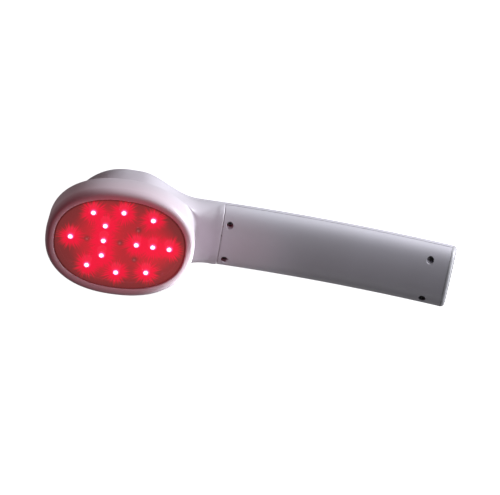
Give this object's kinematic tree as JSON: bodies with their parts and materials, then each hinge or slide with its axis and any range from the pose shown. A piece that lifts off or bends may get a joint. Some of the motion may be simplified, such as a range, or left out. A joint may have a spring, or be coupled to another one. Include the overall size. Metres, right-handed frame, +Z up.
{
  "type": "led facial device",
  "caption": "Handheld LED facial device: oval lit window in a rounded head on a round pod, with a neck and a bowed handle closed by a screwed cover and an end cap.",
  "frame": {"origin": "centre of the device's bounding box, on the surface that it lies on", "axes": "+Z up, out of the window's side; +X along the handle, from the head to the end cap; the device is symmetric about the XZ plane"},
  "size_m": [0.235, 0.0666, 0.0529],
  "materials": {
    "shell": "satin pearl white moulded plastic",
    "window": "polished red transparent acrylic",
    "gasket": "matt black foam rubber",
    "board": "dark solder mask",
    "red_diode": "red clear epoxy",
    "infrared_diode": "water clear epoxy",
    "screw": "zinc plated",
    "driver_board": "green solder mask",
    "black_plastic": "matt black moulding",
    "can": "drawn can",
    "button": "satin pale plastic",
    "cell": "blue film sleeve over a can",
    "foam": "dark closed cell foam",
    "pin": "nickel plated",
    "red_lead": "red insulation",
    "black_lead": "black insulation"
  },
  "bodies": {
    "housing": {"head_housing": "shell", "back_shell": "shell", "handle_cover": "shell", "end_cap": "shell", "window": "window", "window_gasket": "gasket", "led_board": "board", "led_red_01": "red_diode", "led_red_02": "red_diode", "led_red_03": "red_diode", "led_red_04": "red_diode", "led_red_05": "red_diode", "led_red_06": "red_diode", "led_red_07": "red_diode", "led_red_08": "red_diode", "led_red_09": "red_diode", "led_red_10": "red_diode", "led_red_11": "red_diode", "led_red_12": "red_diode", "led_red_13": "red_diode", "led_infrared_01": "infrared_diode", "led_infrared_02": "infrared_diode", "led_infrared_03": "infrared_diode", "led_infrared_04": "infrared_diode", "led_board_screw_1": "screw", "led_board_screw_2": "screw", "led_board_screw_3": "screw", "led_board_screw_4": "screw", "cover_screw_1": "screw", "cover_screw_2": "screw", "cover_screw_3": "screw", "cover_screw_4": "screw", "driver_board": "driver_board", "driver_board_screw_1": "screw", "driver_board_screw_2": "screw", "controller_chip": "black_plastic", "inductor": "black_plastic", "capacitor": "can", "switch_housing": "black_plastic", "battery_cell": "cell", "cell_pad": "foam", "charge_jack": "black_plastic", "charge_jack_pin": "pin", "lead_diodes_red": "red_lead", "lead_diodes_black": "black_lead", "lead_cell_red": "red_lead", "lead_cell_black": "black_lead", "lead_jack_red": "red_lead", "lead_jack_black": "black_lead"},
    "button": {"power_button": "button"},
    "plunger": {"switch_plunger": "button"}
  },
  "joints": [
    {"name": "button_press", "type": "slide", "parent": "housing", "child": "button", "axis": [-0.0225, 0, 0.9997], "range_m": [0, 0.0005], "stiffness_N_per_m": 4000},
    {"name": "plunger_press", "type": "slide", "parent": "housing", "child": "plunger", "axis": [-0.0225, 0, 0.9997], "range_m": [0, 0.0005]}
  ],
  "couplings": [
    {"joint": "plunger_press", "follows": "button_press", "ratio": 1}
  ]
}
